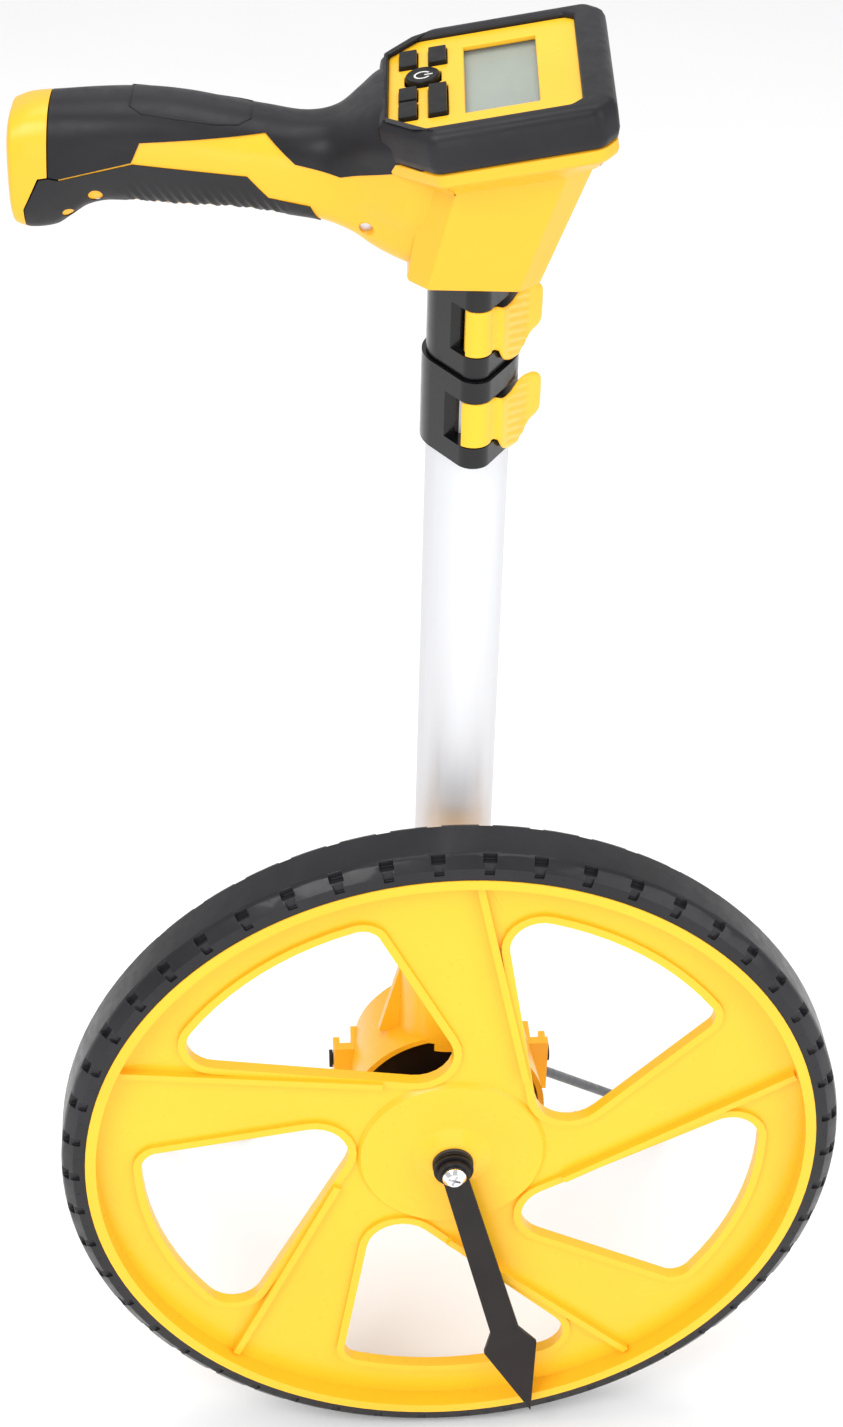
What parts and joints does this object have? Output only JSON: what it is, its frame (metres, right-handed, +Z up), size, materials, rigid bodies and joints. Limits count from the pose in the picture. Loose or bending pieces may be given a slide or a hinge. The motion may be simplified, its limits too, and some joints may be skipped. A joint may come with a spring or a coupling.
{
  "type": "measuring wheel",
  "caption": "Walking measuring wheel: spoked wheel with rubber tyre, side yoke with sensor, telescoping tube with flip clamps, fold-out wire stand, and display head with pistol-like grip.",
  "frame": {"origin": "centre of the bounding box in plan, on the ground under the wheel and the feet", "axes": "+X is the rolling direction, away from the grip; +Y runs along the axle from the wheel's open face to the stand; +Z is up"},
  "size_m": [0.3184, 0.2001, 0.6217],
  "materials": {
    "yellow_body": "satin moulded ABS",
    "yellow_grip": "satin moulded ABS, slightly more orange",
    "black_plastic": "fine moulded grain",
    "clamp_black": "glossy moulded nylon",
    "overmould": "satin soft-touch overmould",
    "tyre_rubber": "moulded rubber with light scuffs",
    "foot_rubber": "smooth sleeve",
    "tube": "satin anodised, drawn lines along it",
    "steel": "zinc plated",
    "chrome": "bright plated",
    "stand_steel": "dark plated wire",
    "bush_nylon": "unpolished nylon",
    "magnet": "bonded ferrite",
    "display_glass": "clear flat window",
    "display_panel": "grey-green liquid crystal panel, blank",
    "circuit_board": "solder mask",
    "cable": "jacketed lead",
    "silicone": "silicone key mat",
    "cell_sleeve": "plain printed sleeve with no lettering",
    "key_plastic": "satin key cap"
  },
  "bodies": {
    "yoke": {"yoke_housing": "yellow_body", "rear_cover": "black_plastic", "cover_screws": "steel", "axle": "steel", "axle_nut": "steel", "axle_spacer": "steel", "sensor_board": "circuit_board", "sensor_lead": "cable", "outer_tube": "tube", "tube_screw": "steel", "lower_clamp": "clamp_black", "lower_lever_pin": "steel", "pointer_spacer": "black_plastic", "axle_screw": "chrome"},
    "wheel": {"wheel": "yellow_body", "tyre": "tyre_rubber", "hub_bushes": "bush_nylon", "magnet_ring": "magnet"},
    "pointer": {"pointer": "black_plastic"},
    "stand": {"stand_leg_left": "stand_steel", "stand_leg_right": "stand_steel", "stand_shaft": "black_plastic", "stand_feet": "foot_rubber"},
    "lower_lever": {"lower_lever": "yellow_body"},
    "middle": {"middle_tube": "tube", "middle_bush": "bush_nylon", "upper_clamp": "clamp_black", "upper_lever_pin": "steel", "coiled_lead": "cable"},
    "upper_lever": {"upper_lever": "yellow_body"},
    "head": {"inner_tube": "tube", "inner_bush": "bush_nylon", "housing_near": "yellow_grip", "housing_far": "yellow_grip", "housing_screws": "steel", "grip_upper": "overmould", "grip_lower": "overmould", "bumper": "overmould", "faceplate": "yellow_body", "display_lens": "display_glass", "display_module": "display_panel", "main_board": "circuit_board", "key_mat": "silicone", "board_lead": "cable", "batteries": "cell_sleeve", "battery_contact": "steel"},
    "butt_cap": {"butt_cap": "yellow_grip", "cap_spring": "steel"},
    "key_hold": {"key_hold": "key_plastic"},
    "key_units": {"key_units": "key_plastic"},
    "key_power": {"key_power": "key_plastic"},
    "key_save": {"key_save": "key_plastic"},
    "key_clear": {"key_clear": "key_plastic"},
    "key_memory": {"key_memory": "key_plastic"}
  },
  "joints": [
    {"name": "wheel_spin", "type": "hinge", "parent": "yoke", "child": "wheel", "pos_m": [0, -0.07725, 0.15915], "axis": [0, 1, 0], "continuous": true},
    {"name": "pointer_swing", "type": "hinge", "parent": "yoke", "child": "pointer", "pos_m": [0, -0.09545, 0.15915], "axis": [0, 1, 0], "continuous": true},
    {"name": "stand_fold", "type": "hinge", "parent": "yoke", "child": "stand", "pos_m": [0, -0.01775, 0.15316], "axis": [1, 0, 0], "range_deg": [0, 142]},
    {"name": "lower_lever_flip", "type": "hinge", "parent": "yoke", "child": "lower_lever", "pos_m": [0, -0.05975, 0.492], "axis": [0, 0, -1], "range_deg": [0, 90]},
    {"name": "middle_slide", "type": "slide", "parent": "yoke", "child": "middle", "axis": [0, 0, 1], "range_m": [0, 0.235]},
    {"name": "upper_lever_flip", "type": "hinge", "parent": "middle", "child": "upper_lever", "pos_m": [0, -0.05865, 0.5266], "axis": [0, 0, -1], "range_deg": [0, 90]},
    {"name": "inner_slide", "type": "slide", "parent": "middle", "child": "head", "axis": [0, 0, 1], "range_m": [0, 0.235]},
    {"name": "butt_cap_pull", "type": "slide", "parent": "head", "child": "butt_cap", "axis": [-0.9976, 0.0698, 0], "range_m": [0, 0.03]},
    {"name": "key_hold_press", "type": "slide", "parent": "head", "child": "key_hold", "axis": [0.1972, -0.0138, -0.9803], "range_m": [0, 0.0012], "stiffness_N_per_m": 800, "springref_m": -0.0006},
    {"name": "key_units_press", "type": "slide", "parent": "head", "child": "key_units", "axis": [0.1972, -0.0138, -0.9803], "range_m": [0, 0.0012], "stiffness_N_per_m": 800, "springref_m": -0.0006},
    {"name": "key_power_press", "type": "slide", "parent": "head", "child": "key_power", "axis": [0.1972, -0.0138, -0.9803], "range_m": [0, 0.0012], "stiffness_N_per_m": 800, "springref_m": -0.0006},
    {"name": "key_save_press", "type": "slide", "parent": "head", "child": "key_save", "axis": [0.1972, -0.0138, -0.9803], "range_m": [0, 0.0012], "stiffness_N_per_m": 800, "springref_m": -0.0006},
    {"name": "key_clear_press", "type": "slide", "parent": "head", "child": "key_clear", "axis": [0.1972, -0.0138, -0.9803], "range_m": [0, 0.0012], "stiffness_N_per_m": 800, "springref_m": -0.0006},
    {"name": "key_memory_press", "type": "slide", "parent": "head", "child": "key_memory", "axis": [0.1972, -0.0138, -0.9803], "range_m": [0, 0.0012], "stiffness_N_per_m": 800, "springref_m": -0.0006}
  ]
}
